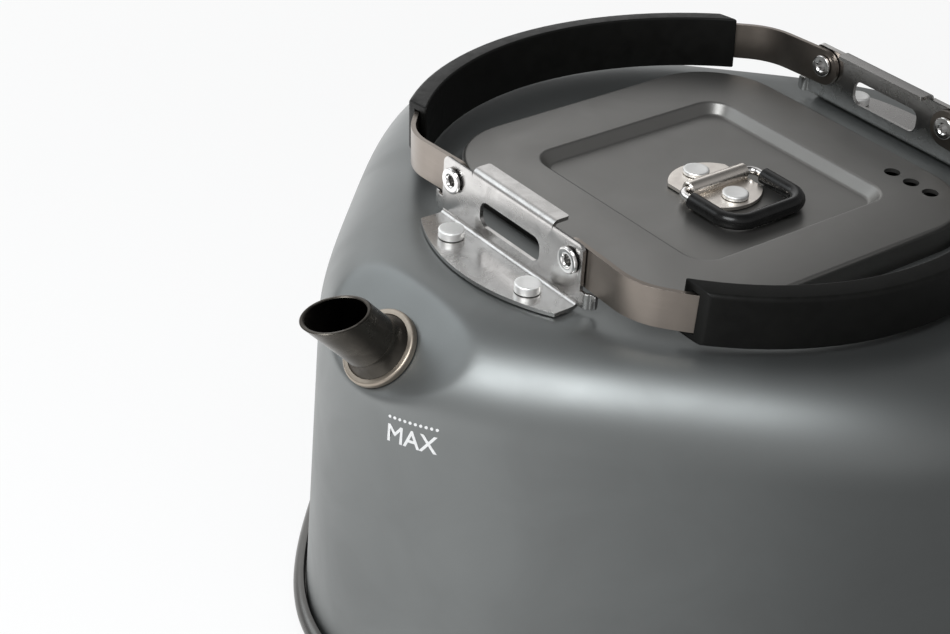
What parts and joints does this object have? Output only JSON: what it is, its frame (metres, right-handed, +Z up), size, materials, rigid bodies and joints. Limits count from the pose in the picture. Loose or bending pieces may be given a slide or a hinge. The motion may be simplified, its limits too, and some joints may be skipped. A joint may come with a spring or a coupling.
{
  "type": "camp kettle",
  "caption": "Low square camp kettle with a rolled base rim, corner spout, lift-off lid with a wire bail, and two folding rubber-gripped handles on riveted brackets.",
  "frame": {"origin": "middle of the base's underside, on the surface that the kettle stands on", "axes": "+X towards the spout, +Y towards the right-hand folded handle, +Z up"},
  "size_m": [0.2136, 0.207, 0.1097],
  "materials": {
    "body_grey": "satin hard-anodised dark grey",
    "lid_grey": "satin hard-anodised warm dark grey",
    "bracket_steel": "tumbled stainless steel",
    "strap_steel": "brushed stainless steel, slightly warm",
    "rivet_aluminium": "bright matte",
    "spout_dark": "dark anodised, satin",
    "collar_tan": "warm grey anodised, satin",
    "grip_rubber": "matte black",
    "sleeve_silicone": "glossy black silicone"
  },
  "bodies": {
    "kettle_body": {"body_shell": "body_grey", "base_pan": "body_grey", "spout_tube": "spout_dark", "spout_collar": "collar_tan", "spout_lock_ring": "bracket_steel", "front_bracket": "bracket_steel", "rear_bracket": "bracket_steel", "front_bracket_rivet_right": "rivet_aluminium", "front_bracket_rivet_left": "rivet_aluminium", "rear_bracket_rivet_right": "rivet_aluminium", "rear_bracket_rivet_left": "rivet_aluminium", "pivot_eyelet_front_right": "bracket_steel", "pivot_eyelet_front_left": "bracket_steel", "pivot_eyelet_rear_right": "bracket_steel", "pivot_eyelet_rear_left": "bracket_steel"},
    "right_handle": {"handle_strap_right": "strap_steel", "grip_right": "grip_rubber"},
    "left_handle": {"handle_strap_left": "strap_steel", "grip_left": "grip_rubber"},
    "lid": {"lid": "lid_grey", "lid_handle_plate": "strap_steel", "lid_rivet_right": "rivet_aluminium", "lid_rivet_left": "rivet_aluminium"},
    "lid_bail": {"lid_bail_wire": "bracket_steel", "lid_bail_sleeve": "sleeve_silicone"}
  },
  "joints": [
    {"name": "right_handle_hinge", "type": "hinge", "parent": "kettle_body", "child": "right_handle", "pos_m": [0, 0.02, 0.1039], "axis": [1, 0, 0], "range_deg": [0, 100]},
    {"name": "left_handle_hinge", "type": "hinge", "parent": "kettle_body", "child": "left_handle", "pos_m": [0, -0.02, 0.1039], "axis": [-1, 0, 0], "range_deg": [0, 100]},
    {"name": "lid_lift", "type": "slide", "parent": "kettle_body", "child": "lid", "axis": [0, 0, 1], "range_m": [0, 0.025]},
    {"name": "lid_bail_hinge", "type": "hinge", "parent": "lid", "child": "lid_bail", "pos_m": [0, 0.0022, 0.0976], "axis": [1, 0, 0], "range_deg": [0, 175]}
  ]
}
